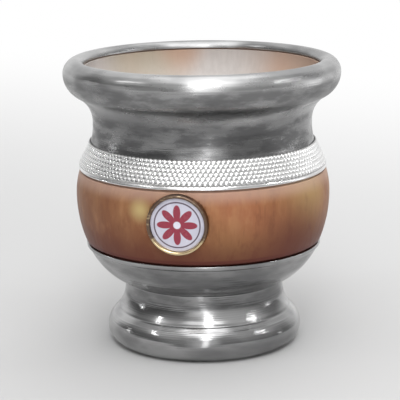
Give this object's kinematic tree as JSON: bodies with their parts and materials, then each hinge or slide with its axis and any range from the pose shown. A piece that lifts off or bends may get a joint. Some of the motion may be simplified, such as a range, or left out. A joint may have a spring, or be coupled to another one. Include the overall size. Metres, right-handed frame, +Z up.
{
  "type": "wooden mate cup",
  "caption": "Turned wooden mate cup with a spun metal collar and rolled lip, a beaded rope band, a bowl and flared foot of spun metal, and a round brass-rimmed badge.",
  "frame": {"origin": "centre of the foot's flat ring, on the surface that the cup stands on", "axes": "+Z up along the cup's turning axis, -Y out through the badge, +X to the right as one faces the badge"},
  "size_m": [0.08, 0.08, 0.0837],
  "materials": {
    "wood": "varnished turned hardwood",
    "white_metal": "polished spun white metal",
    "band_metal": "bright pressed white metal",
    "steel": "plain steel fastener",
    "brass": "polished brass",
    "enamel": "glossy white face with a printed rosette"
  },
  "bodies": {
    "root": {"wood_cup": "wood", "collar": "white_metal", "rope_band": "band_metal", "base_bowl": "white_metal", "foot": "white_metal", "base_washer": "steel", "base_screw": "steel", "badge_bezel": "brass", "badge_enamel": "enamel", "badge_pin": "brass"}
  },
  "joints": []
}
